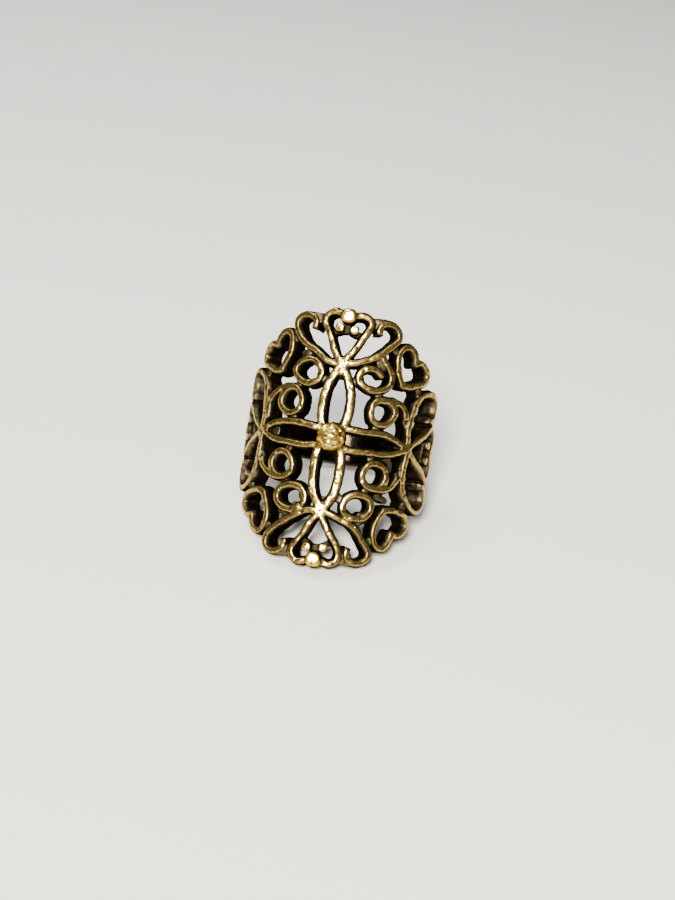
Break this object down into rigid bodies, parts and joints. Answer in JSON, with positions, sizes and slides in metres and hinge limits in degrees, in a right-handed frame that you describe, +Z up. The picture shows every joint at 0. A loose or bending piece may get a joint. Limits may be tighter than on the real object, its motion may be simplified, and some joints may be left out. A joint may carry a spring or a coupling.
{
  "type": "openwork finger ring",
  "caption": "Wide cast openwork finger ring: a pierced plate of petals, coils, hearts and fans round a domed boss, on a plain band.",
  "frame": {"origin": "centre of the bounding box on the surface that the ring lies on", "axes": "+Z up, -Y the way the openwork plate faces (its face also leans up), +X to the plate's right seen from in front"},
  "size_m": [0.0224, 0.0262, 0.0251],
  "materials": {
    "antique_brass": "cast antique brass, polished on its faces and dark in its recesses"
  },
  "bodies": {
    "root": {"openwork_ring": "antique_brass"}
  },
  "joints": []
}
